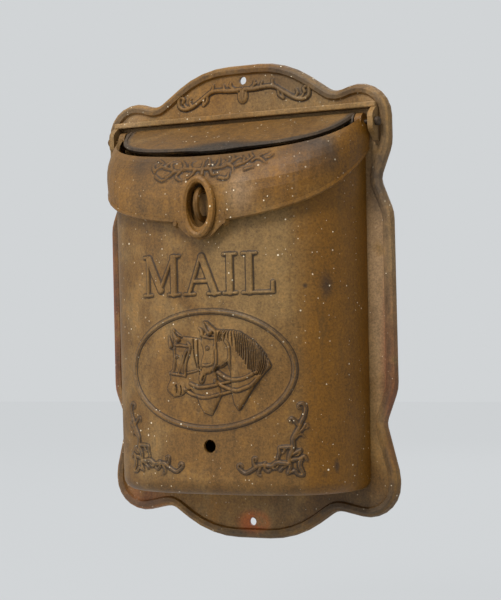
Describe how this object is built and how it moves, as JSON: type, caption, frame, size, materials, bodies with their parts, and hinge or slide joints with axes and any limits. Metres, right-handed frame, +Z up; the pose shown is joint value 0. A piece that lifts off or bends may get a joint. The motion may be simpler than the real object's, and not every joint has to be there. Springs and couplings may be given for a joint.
{
  "type": "wall mailbox",
  "caption": "Cast iron wall mailbox with a scalloped back plate, a bow fronted box, a hinged visor lid with a hasp ring, and a mail flap.",
  "frame": {"origin": "on the wall plane behind the back plate, midway between the two wall screw holes", "axes": "+Z up, -Y out of the wall towards the front, +X to the right when looking at the front"},
  "size_m": [0.259, 0.0945, 0.3918],
  "materials": {
    "rusted_cast_iron": "mottled ochre and brown rust, dark and worn on the raised edges",
    "worn_dark_iron": "dark, worn",
    "rusted_steel": "lightly rusted"
  },
  "bodies": {
    "box": {"back_plate": "rusted_cast_iron", "box_body": "rusted_cast_iron", "hinge_rod": "rusted_steel", "padlock_staple": "worn_dark_iron", "box_screw_upper_right": "rusted_steel", "box_screw_upper_left": "rusted_steel", "box_screw_lower_right": "rusted_steel", "box_screw_lower_left": "rusted_steel"},
    "lid": {"lid": "rusted_cast_iron"},
    "mail_flap": {"mail_flap": "rusted_cast_iron"}
  },
  "joints": [
    {"name": "lid_hinge", "type": "hinge", "parent": "box", "child": "lid", "pos_m": [0, -0.014, 0.1385], "axis": [-1, 0, 0], "range_deg": [0, 95]},
    {"name": "flap_hinge", "type": "hinge", "parent": "box", "child": "mail_flap", "pos_m": [0, -0.014, 0.1385], "axis": [-1, 0, 0], "range_deg": [0, 78]}
  ]
}
